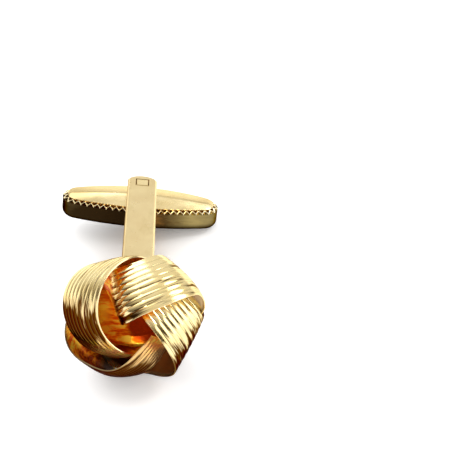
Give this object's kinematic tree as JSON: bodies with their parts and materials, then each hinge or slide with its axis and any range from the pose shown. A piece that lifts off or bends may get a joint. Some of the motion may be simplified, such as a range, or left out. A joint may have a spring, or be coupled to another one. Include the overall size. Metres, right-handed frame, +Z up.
{
  "type": "knot cufflink",
  "caption": "Gold knot cufflink: interlaced ribbed straps form the head, twin flat arms carry a boat-shaped toggle that swivels on a pivot pin to lock behind the cuff.",
  "frame": {"origin": "on the ground under the middle of the cufflink's box, as it lies at rest", "axes": "+Z up, the knot towards -Y, the toggle across X at the +Y end"},
  "size_m": [0.0184, 0.029, 0.015],
  "materials": {
    "ribbed_gold": "gold plated, bright, ribbed lengthwise",
    "plain_gold": "gold plated, bright",
    "satin_gold": "gold plated, satin",
    "toggle_gold": "gold plated, bright, slightly worn",
    "lid_gold": "gold plated, polished",
    "spring_steel": "bare spring steel"
  },
  "bodies": {
    "post": {"strap_left": "ribbed_gold", "strap_top": "ribbed_gold", "strap_right": "ribbed_gold", "strap_bottom": "ribbed_gold", "back_plate": "plain_gold", "clamp_cup": "plain_gold", "arm_upper": "satin_gold", "arm_lower": "satin_gold", "pivot_pin": "satin_gold"},
    "toggle": {"toggle_tray": "toggle_gold", "toggle_rim": "toggle_gold", "toggle_lid": "lid_gold", "bow_spring": "spring_steel"}
  },
  "joints": [
    {"name": "toggle_swivel", "type": "hinge", "parent": "post", "child": "toggle", "pos_m": [0.00002, 0.01227, 0.00313], "axis": [0.1616, 0.1967, 0.967], "continuous": true}
  ]
}
